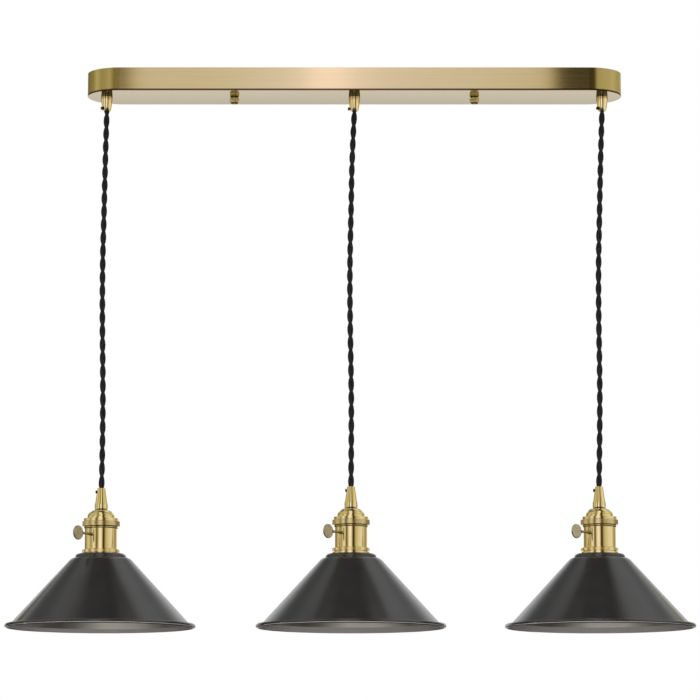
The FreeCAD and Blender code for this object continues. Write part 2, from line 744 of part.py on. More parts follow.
def centre_contact():
    """The spring tongue in the pocket above the socket, flat on the pocket's floor and bent down."""
    top = CONTACT_FLOOR - SEAT_GAP
    foot = top - CONTACT_SHEET
    bend = -CONTACT_REACH / 2
    tip = CONTACT_REACH / 2
    side = outline_face(
        (-CONTACT_REACH, top),
        (bend, top),
        (tip, top - CONTACT_DROP),
        (tip, foot - CONTACT_DROP),
        (bend - CONTACT_SHEET / 2, foot),
        (-CONTACT_REACH, foot),
    )
    side.translate(vec(0, -CONTACT_WIDTH / 2, 0))
    return side.extrude(vec(0, CONTACT_WIDTH, 0))


def shade_ring(washers):
    """The knurled ring above the shade, which stops at the shell's step, and any washers under it."""
    ring_r = SKIRT_R + SHADE_RING_OUT
    neck_r = SKIRT_R + SHADE_RING_NECK_OUT
    band_top = SHADE_RING_TOP - SHADE_RING_COVE
    band_foot = band_top - SHADE_RING_BAND
    ring = turned(
        (SKIRT_RING_BORE_R, SHADE_RING_TOP),
        (SKIRT_R + SHADE_RING_TOP_OUT, SHADE_RING_TOP),
        (ring_r, band_top),
        (ring_r, band_foot),
        (neck_r, band_foot),
        (neck_r, SHADE_RING_FOOT),
        (SKIRT_RING_BORE_R, SHADE_RING_FOOT),
    )
    washer = turned(
        (SHADE_HOLE_R, 0),
        (SKIRT_R + WASHER_OUT, 0),
        (SKIRT_R + WASHER_OUT, WASHER_THICKNESS),
        (SHADE_HOLE_R, WASHER_THICKNESS),
    )
    return Part.makeCompound([ring] + [move(washer, z=below_washers(i + 1)) for i in range(washers)])


def below_washers(count):
    """The height of the underside of so many washers under the shade ring."""
    return SHADE_RING_FOOT - count * (SEAT_GAP + WASHER_THICKNESS)


def shade_nut():
    """The ring nut inside the shade, with its wide flange against the shade's top plate, whose upper
    face is at z = 0."""
    top = -SHADE_SHEET - SEAT_GAP
    flange_r = SKIRT_R + SHADE_NUT_OUT
    body_r = SKIRT_R + SHADE_NUT_BODY_OUT
    return turned(
        (SKIRT_RING_BORE_R, top),
        (flange_r, top),
        (flange_r, top - SHADE_NUT_FLANGE),
        (body_r, top - SHADE_NUT_FLANGE),
        (body_r, top - SHADE_NUT_HEIGHT),
        (SKIRT_RING_BORE_R, top - SHADE_NUT_HEIGHT),
    )


def wall_angle(a, a_r, b, b_r):
    """How far above level the line that touches two circles faces, from their centres and radii. A
    radius below 0 puts the line on the circle's other side."""
    out = b[0] - a[0]
    up = b[1] - a[1]
    apart = math.hypot(out, up)
    return math.degrees(math.atan2(up, out) + math.acos((a_r - b_r) / apart))


def shade():
    """The spun shade, with its top at z = 0. Its sheet goes from the hole over the collar and the
    shoulder down a cone, whose inner face runs on round the rolled rim."""
    bead = (SHADE_R - BEAD_R, -SHADE_HEIGHT)
    groove_r = COLLAR_R - GROOVE_DEPTH
    shoulder_top = -COLLAR_HEIGHT - GROOVE_HEIGHT
    sunk = BEAD_R - SHADE_SHEET
    centre = (groove_r, shoulder_top - SHOULDER_R)
    slope = wall_angle(centre, SHOULDER_R, bead, -sunk)
    inner_r = SHOULDER_R - SHADE_SHEET
    half_way = (90 + slope) / 2
    bead_start = 180 + slope - math.degrees(math.acos(sunk / BEAD_R))
    bead_end = slope - 180
    bead_middle = (bead_start + bead_end) / 2
    collar_centre = (COLLAR_R - COLLAR_HEIGHT, -COLLAR_HEIGHT)
    return turned(
        (SHADE_HOLE_R, 0),
        (collar_centre[0], 0),
        (on_circle(collar_centre, COLLAR_HEIGHT, 45), (COLLAR_R, -COLLAR_HEIGHT)),
        (groove_r, -COLLAR_HEIGHT),
        (groove_r, shoulder_top),
        (on_circle(centre, SHOULDER_R, half_way), on_circle(centre, SHOULDER_R, slope)),
        on_circle(bead, BEAD_R, bead_start),
        (on_circle(bead, BEAD_R, (bead_start + bead_middle) / 2), on_circle(bead, BEAD_R, bead_middle)),
        (on_circle(bead, BEAD_R, (bead_middle + bead_end) / 2), on_circle(bead, BEAD_R, bead_end)),
        on_circle(centre, inner_r, slope),
        (on_circle(centre, inner_r, half_way), (groove_r, shoulder_top - SHADE_SHEET)),
        (groove_r - SHADE_SHEET, shoulder_top - SHADE_SHEET),
        (groove_r - SHADE_SHEET, -SHADE_SHEET),
        (SHADE_HOLE_R, -SHADE_SHEET),
    )


def ceiling_pieces():
    """The pieces that stay with the ceiling, by name."""
    pieces = {
        "canopy": canopy(),
        "ceiling_strap": ceiling_strap(),
        "strap_studs": strap_studs(),
        "stud_nuts": stud_nuts(),
        "finial_nuts": finial_nuts(),
        "canopy_grip_screws": canopy_grip_screws(),
        "canopy_grip_nuts": canopy_grip_nuts(),
        "terminal_block": terminal_block(),
        "terminal_screws": terminal_screws(),
    }
    for side, place in PENDANTS.items():
        pieces[f"canopy_grip_{side}"] = move(canopy_grip(side), x=place * PENDANT_SPACING)
        pieces[f"lead_{side}"] = lead(side)
    return pieces


def lamp_pieces(side):
    """One lamp's pieces, by name, about the lamp's own axis and from its grip's mouth down."""
    washers = WASHERS[side]
    shade_top = below_washers(washers) - SEAT_GAP
    key_side = 180 + KEY_TURNS[side]
    return {
        "flex_tail": flex_tail(),
        "lamp_grip": lamp_grip(),
        "lamp_grip_screw": lamp_grip_screw(),
        "socket_cap": socket_cap(),
        "union_ring": union_ring(),
        "socket_shell": turn(socket_shell(), key_side),
        "switch_key": turn(switch_key(), key_side),
        "switch_spindle": turn(switch_spindle(), key_side),
        "socket_core": turn(socket_core(), key_side),
        "screw_shell": screw_shell(),
        "centre_contact": centre_contact(),
        "shade_ring": shade_ring(washers),
        "shade": move(shade(), z=shade_top),
        "shade_nut": move(shade_nut(), z=shade_top),
    }


def all_pieces():
    """Every piece in its place."""
    pieces = ceiling_pieces()
    for side, place in PENDANTS.items():
        x = place * PENDANT_SPACING
        pieces[f"flex_{side}"] = move(flex(side), x=x, z=MOUTH_Z)
        lean, drop = FLEX_ROUTES[side][-1]
        for name, shape in lamp_pieces(side).items():
            pieces[f"{name}_{side}"] = move(shape, x=x + lean, z=MOUTH_Z + drop)
    return pieces


os.makedirs("parts", exist_ok=True)
for name, shape in all_pieces().items():
    shape.exportStep(f"parts/{name}.step")
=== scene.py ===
import math
import bpy
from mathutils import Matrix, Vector


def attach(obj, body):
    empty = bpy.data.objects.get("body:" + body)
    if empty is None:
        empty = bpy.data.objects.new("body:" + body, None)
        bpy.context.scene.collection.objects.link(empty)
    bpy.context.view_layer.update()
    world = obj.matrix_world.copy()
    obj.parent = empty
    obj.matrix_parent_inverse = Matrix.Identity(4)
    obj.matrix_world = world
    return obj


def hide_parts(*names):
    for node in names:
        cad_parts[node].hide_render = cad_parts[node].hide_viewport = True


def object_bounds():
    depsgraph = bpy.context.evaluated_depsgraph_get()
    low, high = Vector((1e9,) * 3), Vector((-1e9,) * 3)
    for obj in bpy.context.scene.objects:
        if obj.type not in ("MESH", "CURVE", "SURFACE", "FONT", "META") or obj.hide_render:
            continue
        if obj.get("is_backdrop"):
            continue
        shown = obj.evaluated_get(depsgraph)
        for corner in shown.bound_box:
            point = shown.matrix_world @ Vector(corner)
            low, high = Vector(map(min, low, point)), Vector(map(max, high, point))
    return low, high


# A pendant lamp: a round-ended brass bar at the ceiling, and three dark conical shades that hang from
# it on twisted black flex, each under a brass lampholder with a switch key. Everything is in metres,
# with the origin at the ceiling above the middle pendant.
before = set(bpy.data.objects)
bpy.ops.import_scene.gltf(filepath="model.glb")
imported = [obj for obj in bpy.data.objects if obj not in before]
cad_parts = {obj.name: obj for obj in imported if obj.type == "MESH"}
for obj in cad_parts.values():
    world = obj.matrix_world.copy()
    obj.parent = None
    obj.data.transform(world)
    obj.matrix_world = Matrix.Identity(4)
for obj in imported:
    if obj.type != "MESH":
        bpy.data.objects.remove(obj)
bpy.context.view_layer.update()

# The camera stands about four metres off with a long lens, a little below the shades' rims, and looks
# up by a few degrees.
CAMERA_PLACE = (-0.00579, -4.300, -0.97179)
CAMERA_RISE = math.radians(8.03)
CAMERA_LENS = 171.85
CAMERA_SENSOR = 36.0
CAMERA_REACH = 100.0

camera = bpy.data.objects.new("camera", bpy.data.cameras.new("camera"))
camera.location = CAMERA_PLACE
camera.rotation_euler = (math.pi / 2 + CAMERA_RISE, 0, 0)
camera.data.sensor_width = CAMERA_SENSOR
camera.data.lens = CAMERA_LENS
camera.data.clip_end = CAMERA_REACH
bpy.context.scene.collection.objects.link(camera)
bpy.context.scene.camera = camera
bpy.context.scene.view_settings.view_transform = "Standard"

# The hanging flex of each pendant: two cotton-braided cores twisted round each other, held by a brass
# grip at each end. Where it hangs its strands are looser and thicker than inside the bar and the lamp,
# and its half turns get a little longer downwards. A route is (x, z) from the upper grip's mouth.
FLEX_R = 0.0035
STRAND_HALF_THICK = FLEX_R / 2
STRAND_HALF_WIDE = 0.00222
LOOSE_HALF_THICK = 0.00195
STRAND_SIDES = 14
SIDES = ("left", "middle", "right")
FLEX_MOUTH_Z = -0.0487
PENDANT_X = {"left": -0.325, "middle": 0.0, "right": 0.325}
FLEX_ROUTES = {
    "left": [(0.0, 0.0), (-0.0013, -0.060), (-0.0022, -0.128), (-0.0036, -0.203),
             (-0.0031, -0.281), (-0.0014, -0.357), (-0.0010, -0.431), (-0.00185, -0.4970)],
    "middle": [(0.0, 0.0), (-0.0032, -0.060), (-0.0043, -0.128), (-0.0061, -0.203),
               (-0.0057, -0.281), (-0.0042, -0.357), (-0.0040, -0.430), (-0.0045, -0.4949)],
    "right": [(0.0, 0.0), (-0.0025, -0.060), (-0.0044, -0.128), (-0.0068, -0.203),
              (-0.0072, -0.281), (-0.0065, -0.357), (-0.0074, -0.430), (-0.0091, -0.4949)],
}
FIRST_CROSSING = {"left": 0.0212, "middle": 0.0016, "right": 0.0016}
HALF_TURN = 0.0171
HALF_TURN_GROWTH = 0.0000218
FLEX_STEP = 0.0012
BRAID_DARK = (0.004, 0.004, 0.005)
BRAID_LIGHT = (0.016, 0.016, 0.018)
BRAID_DEPTH = 0.0002
THREADS_ROUND = 8.0
THREADS_ALONG = 900.0


def material(name, **sockets):
    """A new material: itself, its tree and its shader, with the shader's sockets set by name."""
    made = bpy.data.materials.new(name)
    made.use_nodes = True
    shader = made.node_tree.nodes["Principled BSDF"]
    for socket, value in sockets.items():
        shader.inputs[socket.replace("_", " ")].default_value = value
    return made, made.node_tree, shader


def node(tree, kind, settings=None, **inputs):
    """A new node of a tree. Inputs are values, or outputs of other nodes to link."""
    made = tree.nodes.new(kind)
    for key, value in (settings or {}).items():
        setattr(made, key, value)
    for key, value in inputs.items():
        by_number = key[0] == "i" and key[1:].isdigit()
        socket = made.inputs[int(key[1:])] if by_number else made.inputs[key.replace("_", " ")]
        if isinstance(value, bpy.types.NodeSocket):
            tree.links.new(value, socket)
        else:
            socket.default_value = value
    return made


def maths(tree, operation, *values):
    """The result of a Math node."""
    inputs = {f"i{i}": value for i, value in enumerate(values)}
    return node(tree, "ShaderNodeMath", {"operation": operation}, **inputs).outputs["Value"]


def ramp(tree, share, stops):
    """The colour of a ramp whose stops are (position, colour)."""
    made = node(tree, "ShaderNodeValToRGB", Fac=share)
    for i, (position, colour) in enumerate(stops):
        stop = made.color_ramp.elements[i] if i < 2 else made.color_ramp.elements.new(position)
        stop.position = position
        stop.color = (*colour, 1)
    return made.outputs["Color"]


def feed(tree, shader, **values):
    """Links values to a shader's sockets by name."""
    for socket, value in values.items():
        tree.links.new(value, shader.inputs[socket.replace("_", " ")])


def parts(tree, vector):
    """The X, Y and Z of a vector."""
    return node(tree, "ShaderNodeSeparateXYZ", Vector=vector).outputs


def dents(tree, height, strength, depth):
    """The direction of a surface whose height changes a little from place to place."""
    return node(tree, "ShaderNodeBump", Height=height, Strength=strength, Distance=depth).outputs["Normal"]


def smooth_line(name, points):
    """Close points along a smooth curve whose control points are given."""
    curve = bpy.data.curves.new(name, "CURVE")
    curve.dimensions = "3D"
    curve.resolution_u = 24
    spline = curve.splines.new("NURBS")
    spline.points.add(len(points) - 1)
    for control, point in zip(spline.points, points):
        control.co = (*point, 1.0)
    spline.order_u = 3
    spline.use_endpoint_u = True
    holder = bpy.data.objects.new(name, curve)
    bpy.context.scene.collection.objects.link(holder)
    line = bpy.data.meshes.new_from_object(holder)
    found = [v.co.copy() for v in line.vertices]
    bpy.data.objects.remove(holder)
    bpy.data.curves.remove(curve)
    bpy.data.meshes.remove(line)
    return found


def even_points(points, step):
    """The same line with points an even step apart, and the length up to each of them."""
    lengths = [0.0]
    for a, b in zip(points, points[1:]):
        lengths.append(lengths[-1] + (b - a).length)
    count = max(2, round(lengths[-1] / step))
    found = []
    i = 0
    for k in range(count + 1):
        s = lengths[-1] * k / count
        while i < len(points) - 2 and lengths[i + 1] < s:
            i += 1
        t = (s - lengths[i]) / (lengths[i + 1] - lengths[i])
        found.append((points[i].lerp(points[i + 1], t), s))
    return found


def link_mesh(name, verts, faces, smooth=True):
    """A new object with a mesh of these points and faces."""
    mesh = bpy.data.meshes.new(name)
    mesh.from_pydata([tuple(v) for v in verts], [], faces)
    mesh.update()
    if smooth:
        mesh.shade_smooth()
    made = bpy.data.objects.new(name, mesh)
    bpy.context.scene.collection.objects.link(made)
    return made


def directions(points):
    """The direction of a line at each of its points."""
    last = len(points) - 1
    return [(points[min(i + 1, last)] - points[max(i - 1, 0)]).normalized() for i in range(last + 1)]


def outwards(along, angle):
    """The direction square to a line's direction that stands at an angle round it."""
    side = along.cross(Vector((0, 1, 0))).normalized()
    return math.cos(angle) * side + math.sin(angle) * side.cross(along).normalized()


def strand_ring(point, along, out, half_thick):
    """The points of a strand's section, which is pressed flatter against the other strand."""
    out = (out - along * out.dot(along)).normalized()
    beside = along.cross(out)
    turns = [2 * math.pi * k / STRAND_SIDES for k in range(STRAND_SIDES)]
    return [point + half_thick * math.cos(a) * out + STRAND_HALF_WIDE * math.sin(a) * beside
            for a in turns]


def twisted_pair(name, centres, turn_at, half_thick=STRAND_HALF_THICK):
    """Two strands twisted round a line, with a map whose u runs round a strand and v along it.
    turn_at gives the pair's angle at a length along the line."""
    verts, faces, maps = [], [], []
    middles = [point for point, _ in centres]
    for strand in range(2):
        outs = [outwards(along, turn_at(s) + math.pi * strand)
                for (_, s), along in zip(centres, directions(middles))]
        line = [point + half_thick * out for point, out in zip(middles, outs)]
        first = len(verts)
        run = 0.0
        for i, (point, along) in enumerate(zip(line, directions(line))):
            start = len(verts)
            verts += strand_ring(point, along, outs[i], half_thick)
            if not i:
                continue
            before, run = run, run + (point - line[i - 1]).length
            for k in range(STRAND_SIDES):
                n = (k + 1) % STRAND_SIDES
                u, v = k / STRAND_SIDES, (k + 1) / STRAND_SIDES
                last = start - STRAND_SIDES
                faces.append((last + k, last + n, start + n, start + k))
                maps.append(((u, before), (v, before), (v, run), (u, run)))
        faces.append(tuple(reversed(range(first, first + STRAND_SIDES))))
        faces.append(tuple(range(len(verts) - STRAND_SIDES, len(verts))))
        maps += [((0.0, 0.0),) * STRAND_SIDES] * 2
    made = link_mesh(name, verts, faces)
    layer = made.data.uv_layers.new(name="UVMap")
    layer.data.foreach_set("uv", [x for face in maps for pair in face for x in pair])
    return made


def pair_angle(side, s):
    """A pair's angle at a length along it, counted in half turns from its first crossing."""
    run = s - FIRST_CROSSING[side]
    lengthened = math.sqrt(HALF_TURN**2 + 4 * HALF_TURN_GROWTH * run)
    half_turns = (lengthened - HALF_TURN) / (2 * HALF_TURN_GROWTH)
    return math.pi / 2 + math.pi * half_turns


# The braid: cotton threads that cross each other round the strand, dull and nearly black.
braid, tree, shader = material("black_braid", Roughness=0.8, Sheen_Weight=0.1, Sheen_Roughness=0.4)
threads = node(tree, "ShaderNodeUVMap", {"uv_map": "UVMap"}).outputs["UV"]
thread_height = 0.0
for lean in (1.0, -1.0):
    leaning = node(tree, "ShaderNodeMapping", Vector=threads,
                   Scale=(THREADS_ROUND, lean * THREADS_ALONG, 1.0))
    run = parts(tree, leaning.outputs["Vector"])
    wave = maths(tree, "PINGPONG", maths(tree, "ADD", run["X"], run["Y"]), 0.5)
    thread_height = maths(tree, "MAXIMUM", thread_height, wave)
feed(tree, shader, Base_Color=ramp(tree, thread_height, [(0.15, BRAID_DARK), (0.5, BRAID_LIGHT)]),
     Normal=dents(tree, thread_height, 0.6, BRAID_DEPTH))

for side in SIDES:
    route = [Vector((PENDANT_X[side] + x, 0.0, FLEX_MOUTH_Z + z)) for x, z in FLEX_ROUTES[side]]
    centres = even_points(smooth_line("route", route), FLEX_STEP)
    flex = twisted_pair(f"twisted_flex_{side}", centres, lambda s: pair_angle(side, s), LOOSE_HALF_THICK)
    flex.data.materials.append(braid)
    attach(flex, f"flex_{side}")
    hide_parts(f"flex_{side}")

# The same twisted pair goes on above each upper grip: it bends over inside the bar and runs level to
# the terminal block. Its route's points are (x, y) at the height of the leads.
LEAD_START_Z = -0.0449
LEAD_Z = -0.014
LEAD_ROUTES = {
    "left": [(-0.325, 0), (-0.288, -0.006), (-0.240, -0.013), (-0.175, -0.016), (-0.105, -0.013),
             (-0.040, -0.0105), (0.020, -0.0135), (0.064, -0.012), (0.1065, -0.012)],
    "middle": [(0, 0), (0.038, 0.007), (0.072, 0.012), (0.1065, 0.012)],
    "right": [(0.325, 0), (0.288, 0.007), (0.240, 0.013), (0.180, 0.012), (0.1235, 0.012)],
}

for side in SIDES:
    level = [Vector((x, y, LEAD_Z)) for x, y in LEAD_ROUTES[side]]
    route = [Vector((PENDANT_X[side], 0, LEAD_START_Z))] + level
    centres = even_points(smooth_line("route", route), FLEX_STEP)
    lead = twisted_pair(f"twisted_lead_{side}", centres,
                        lambda s: pair_angle(side, LEAD_START_Z - FLEX_MOUTH_Z - s))
    lead.data.materials.append(braid)
    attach(lead, "ceiling_fixture")
    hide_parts(f"lead_{side}")

# The flex's lower end: it goes on straight down through the lamp's grip into the cap, and turns with
# the lamp. Its twist goes on from where the hanging flex ends, half a metre down.
TAIL_TOP = -0.0038
TAIL_FOOT = -0.0313
TAIL_RUN = 0.5
LAMP_X = {side: PENDANT_X[side] + FLEX_ROUTES[side][-1][0] for side in SIDES}
LAMP_Z = {side: FLEX_MOUTH_Z + FLEX_ROUTES[side][-1][1] for side in SIDES}

for side in SIDES:
    ends = [Vector((LAMP_X[side], 0, LAMP_Z[side] + z)) for z in (TAIL_TOP, TAIL_FOOT)]
    tail = twisted_pair(f"twisted_tail_{side}", even_points(ends, FLEX_STEP),
                        lambda s: pair_angle(side, TAIL_RUN + s))
    tail.data.materials.append(braid)
    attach(tail, f"lamp_{side}")
    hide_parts(f"flex_tail_{side}")

# The bar: a shallow round-ended tray of satin brass that closes against the ceiling, brushed with fine
# scratches along its length and round its ends. Painted shade darkens it along the lower edge, and a
# painted reflection dims its underside towards the back.
SATIN_LIGHT = (0.645, 0.520, 0.262)
SATIN_DARK = (0.595, 0.472, 0.228)
SATIN_GLOSS = (0.065, 0.08)
SCRATCHES = (6.0, 900.0, 900.0)
SCRATCH_DEPTH = 0.00003
SCRATCHED_ROUND = (0, 0.05, 1)
BAR_HALF_WIDTH = 0.045
UNDERSIDE_LOOK = -0.9
UNDERSIDE_PAINTED_REFLECTION = [(0.03, (0.36, 0.29, 0.20)), (0.07, (0.79, 0.735, 0.67)), (0.5, (0.65, 0.625, 0.60)),
                   (0.83, (0.54, 0.53, 0.465)), (1.0, (0.44, 0.49, 0.43))]
PAINTED_EDGE_SHADE_SPAN = (-0.0275, -0.0284)
PAINTED_EDGE_SHADE_TINT = (0.24, 0.18, 0.10)


def dress(name, finish):
    """Gives a node of the frame its material."""
    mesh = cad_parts[name].data
    mesh.materials.clear()
    mesh.materials.append(finish)


def noise(tree, where, scale, detail=3.0, roughness=0.5):
    """The value of a noise over a place."""
    made = node(tree, "ShaderNodeTexNoise", Vector=where, Scale=scale, Detail=detail, Roughness=roughness)
    return made.outputs["Fac"]


def spread(tree, value, start, end, low=0.0, high=1.0):
    """A value that goes from start to end, spread from low to high."""
    made = node(tree, "ShaderNodeMapRange", i0=value, i1=start, i2=end, i3=low, i4=high)
    return made.outputs["Result"]


def between(tree, value, low, high):
    """A noise's value spread from low to high, over the part from 0.3 to 0.7 where most of it is."""
    return spread(tree, value, 0.3, 0.7, low, high)


def mixed(tree, share, first, second):
    """The first colour where a share is 0, and the second where it is 1."""
    first, second = [colour if isinstance(colour, bpy.types.NodeSocket) else (*colour, 1)
                     for colour in (first, second)]
    return node(tree, "ShaderNodeMix", {"data_type": "RGBA"}, Factor=share, i6=first, i7=second).outputs[2]


def vectors(tree, operation, first, second=(0, 0, 0)):
    """The result of a Vector Math node."""
    second_socket = {"Scale" if operation == "SCALE" else "i1": second}
    made = node(tree, "ShaderNodeVectorMath", {"operation": operation}, i0=first, **second_socket)
    return made.outputs["Value" if operation in ("DOT_PRODUCT", "LENGTH") else "Vector"]


satin, tree, shader = material("satin_brass", Metallic=1.0, Anisotropic=1.0, Anisotropic_Rotation=0.25)
place = node(tree, "ShaderNodeTexCoord").outputs
stretched = node(tree, "ShaderNodeMapping", Vector=place["Object"], Scale=SCRATCHES).outputs["Vector"]
scratches = noise(tree, stretched, 1.0, 4.0, 0.7)
brushed = ramp(tree, scratches, [(0.35, SATIN_DARK), (0.65, SATIN_LIGHT)])
spot = parts(tree, place["Object"])
# Painted shade along the front's lower edge, and a painted reflection across the underside that dims
# towards the back.
painted_edge_shade = mixed(tree, spread(tree, spot["Z"], *PAINTED_EDGE_SHADE_SPAN), (1, 1, 1), PAINTED_EDGE_SHADE_TINT)
across = spread(tree, spot["Y"], -BAR_HALF_WIDTH, BAR_HALF_WIDTH)
downwards = maths(tree, "LESS_THAN", parts(tree, place["Normal"])["Z"], UNDERSIDE_LOOK)
painted_light_tint = mixed(tree, downwards, painted_edge_shade, ramp(tree, across, UNDERSIDE_PAINTED_REFLECTION))
feed(tree, shader, Base_Color=vectors(tree, "MULTIPLY", brushed, painted_light_tint),
     Roughness=between(tree, scratches, *SATIN_GLOSS),
     Tangent=vectors(tree, "CROSS_PRODUCT", place["Normal"], SCRATCHED_ROUND),
     Normal=dents(tree, scratches, 0.12, SCRATCH_DEPTH))
dress("canopy", satin)

# The strap that is screwed to the ceiling inside the bar, and the two studs that carry the bar, with
# their lock nuts: zinc-plated steel, with the plating's pale grains.
ZINC_DARK = (0.46, 0.47, 0.49)
ZINC_LIGHT = (0.66, 0.67, 0.68)
ZINC_GLOSS = (0.28, 0.5)
ZINC_GRAINS = 420.0
ZINC_CLOUDS = 300.0

zinc, tree, shader = material("zinc_steel", Metallic=1.0)
place = node(tree, "ShaderNodeTexCoord").outputs["Object"]
grains = node(tree, "ShaderNodeTexVoronoi", Vector=place, Scale=ZINC_GRAINS).outputs["Color"]
feed(tree, shader, Base_Color=ramp(tree, grains, [(0.0, ZINC_DARK), (1.0, ZINC_LIGHT)]),
     Roughness=between(tree, noise(tree, place, ZINC_CLOUDS), *ZINC_GLOSS))
for name in ("ceiling_strap", "strap_studs", "stud_nuts"):
    dress(name, zinc)

# The two finials: round-ended nuts of polished brass that screw on to the studs from below and hold
# the bar up, with painted shade at the necks and a painted dark reflection at the tips. The knurled
# bands round them are brighter and yellower.
BRASS_LIGHT = (0.88, 0.730, 0.352)
BRASS_DARK = (0.82, 0.672, 0.305)
BRASS_CLOUDS = 90.0
BRASS_GRAIN = 700.0
BRASS_WAVES = 160.0
BRASS_WAVE_DEPTH = 0.0001
POLISH = (0.05, 0.09)
BAND_LIGHT = (0.98, 0.79, 0.27)
BAND_DARK = (0.92, 0.70, 0.20)
BAND_GLOSS = (0.20, 0.30)
BAND_METAL = 0.6
STUD_X = 0.1575
FINIAL_BAND = (-0.0364, -0.0312)
FINIAL_R = 0.00585
FINIAL_RIBS = 40
FINIAL_RIB_R = 0.00045
FINIAL_RIB_SINK = 0.0002
NECK_SOFT = 0.0003
NECK_PAINTED_SHADE = 0.22
TIP_LOOK = (-0.75, -0.95)
TIP_PAINTED_DARK = 0.4


def brass(name, light, dark, gloss, wave=0.05, metallic=1.0, painted_light=None):
    """A brass whose colour, gloss and evenness change a little from place to place. Where painted light is
    given, it is a function that makes, from the material's tree, a share of the colour that paints shade on
    it."""
    made, tree, shader = material(name, Metallic=metallic)
    place = node(tree, "ShaderNodeTexCoord").outputs["Object"]
    colour = ramp(tree, noise(tree, place, BRASS_CLOUDS, 4.0, 0.6), [(0.35, dark), (0.65, light)])
    if painted_light:
        colour = vectors(tree, "SCALE", colour, painted_light(tree))
    feed(tree, shader, Base_Color=colour, Roughness=between(tree, noise(tree, place, BRASS_GRAIN), *gloss),
         Normal=dents(tree, noise(tree, place, BRASS_WAVES, 2.0), wave, BRASS_WAVE_DEPTH))
    return made


def finial_painted_shade(tree):
    """Painted shade: darker at the neck above the band, and a painted dark reflection where the round tip
    looks down.
    """
    place = node(tree, "ShaderNodeTexCoord").outputs
    top = FINIAL_BAND[1]
    neck = spread(tree, parts(tree, place["Object"])["Z"], top - NECK_SOFT, top, 1.0, NECK_PAINTED_SHADE)
    tip = spread(tree, parts(tree, place["Normal"])["Z"], *TIP_LOOK, 1.0, TIP_PAINTED_DARK)
    return maths(tree, "MULTIPLY", neck, tip)


def ribs_tree():
    """A tree of nodes that sets ribs upright round a ring, and repeats the ring along x."""
    tree = bpy.data.node_groups.new("upright_ribs", "GeometryNodeTree")
    for name, kind in (("Ribs", "Int"), ("Ring Radius", "Float"), ("Rib Radius", "Float"),
                       ("Rib Length", "Float"), ("Rings", "Int"), ("First Ring", "Vector"),
                       ("Ring Spacing", "Float"), ("Material", "Material")):
        tree.interface.new_socket(name, in_out="INPUT", socket_type=f"NodeSocket{kind}")
    tree.interface.new_socket("Geometry", in_out="OUTPUT", socket_type="NodeSocketGeometry")
    given = tree.nodes.new("NodeGroupInput").outputs
    ring = node(tree, "GeometryNodeMeshCircle", Vertices=given["Ribs"], Radius=given["Ring Radius"])
    rib = node(tree, "GeometryNodeMeshCylinder", Vertices=4, Radius=given["Rib Radius"],
               Depth=given["Rib Length"])
    share = maths(tree, "DIVIDE", node(tree, "GeometryNodeInputIndex").outputs["Index"], given["Ribs"])
    facing = node(tree, "ShaderNodeCombineXYZ", Z=maths(tree, "MULTIPLY", share, 2 * math.pi))
    ribs = node(tree, "GeometryNodeInstanceOnPoints", Points=ring.outputs["Mesh"],
                Instance=rib.outputs["Mesh"], Rotation=facing.outputs["Vector"])
    step = node(tree, "ShaderNodeCombineXYZ", X=given["Ring Spacing"])
    places = node(tree, "GeometryNodeMeshLine", Count=given["Rings"], Start_Location=given["First Ring"],
                  Offset=step.outputs["Vector"])
    rings = node(tree, "GeometryNodeInstanceOnPoints", Points=places.outputs["Mesh"],
                 Instance=ribs.outputs["Instances"])
    real = node(tree, "GeometryNodeRealizeInstances", Geometry=rings.outputs["Instances"])
    dressed = node(tree, "GeometryNodeSetMaterial", Geometry=real.outputs["Geometry"],
                   Material=given["Material"])
    tree.links.new(dressed.outputs["Geometry"], tree.nodes.new("NodeGroupOutput").inputs["Geometry"])
    return tree


def grown(name, tree, values):
    """The plain mesh that a tree of nodes makes from its named inputs."""
    holder = bpy.data.objects.new(name, bpy.data.meshes.new(name))
    modifier = holder.modifiers.new("made", "NODES")
    modifier.node_group = tree
    for item in tree.interface.items_tree:
        if item.in_out == "INPUT":
            modifier[item.identifier] = values[item.name]
    bpy.context.scene.collection.objects.link(holder)
    shaped = holder.evaluated_get(bpy.context.evaluated_depsgraph_get())
    mesh = bpy.data.meshes.new_from_object(shaped)
    holder.modifiers.clear()
    holder.data = mesh
    mesh.name = name
    return holder


upright_ribs = ribs_tree()
band_brass = brass("bright_knurled_brass", BAND_LIGHT, BAND_DARK, BAND_GLOSS, metallic=BAND_METAL)
finial_ribs = grown("finial_knurls", upright_ribs, {
    "Ribs": FINIAL_RIBS, "Ring Radius": FINIAL_R - FINIAL_RIB_SINK, "Rib Radius": FINIAL_RIB_R,
    "Rib Length": FINIAL_BAND[1] - FINIAL_BAND[0], "Rings": 2,
    "First Ring": (-STUD_X, 0, sum(FINIAL_BAND) / 2), "Ring Spacing": 2 * STUD_X, "Material": band_brass})
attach(finial_ribs, "ceiling_fixture")
dress("finial_nuts", brass("finial_brass", BRASS_LIGHT, BRASS_DARK, POLISH, painted_light=finial_painted_shade))

# The three grips under the bar: turned and polished brass, a little paler than the rest, each with a
# lock nut inside the bar and a blackened slotted screw in its side that bites the flex.
GRIP_LIGHT = (0.98, 0.81, 0.41)
GRIP_DARK = (0.93, 0.76, 0.36)
OXIDE_DARK = (0.012, 0.011, 0.010)
OXIDE_LIGHT = (0.045, 0.038, 0.030)
OXIDE_GLOSS = (0.3, 0.5)
OXIDE_GRAIN = 1500.0

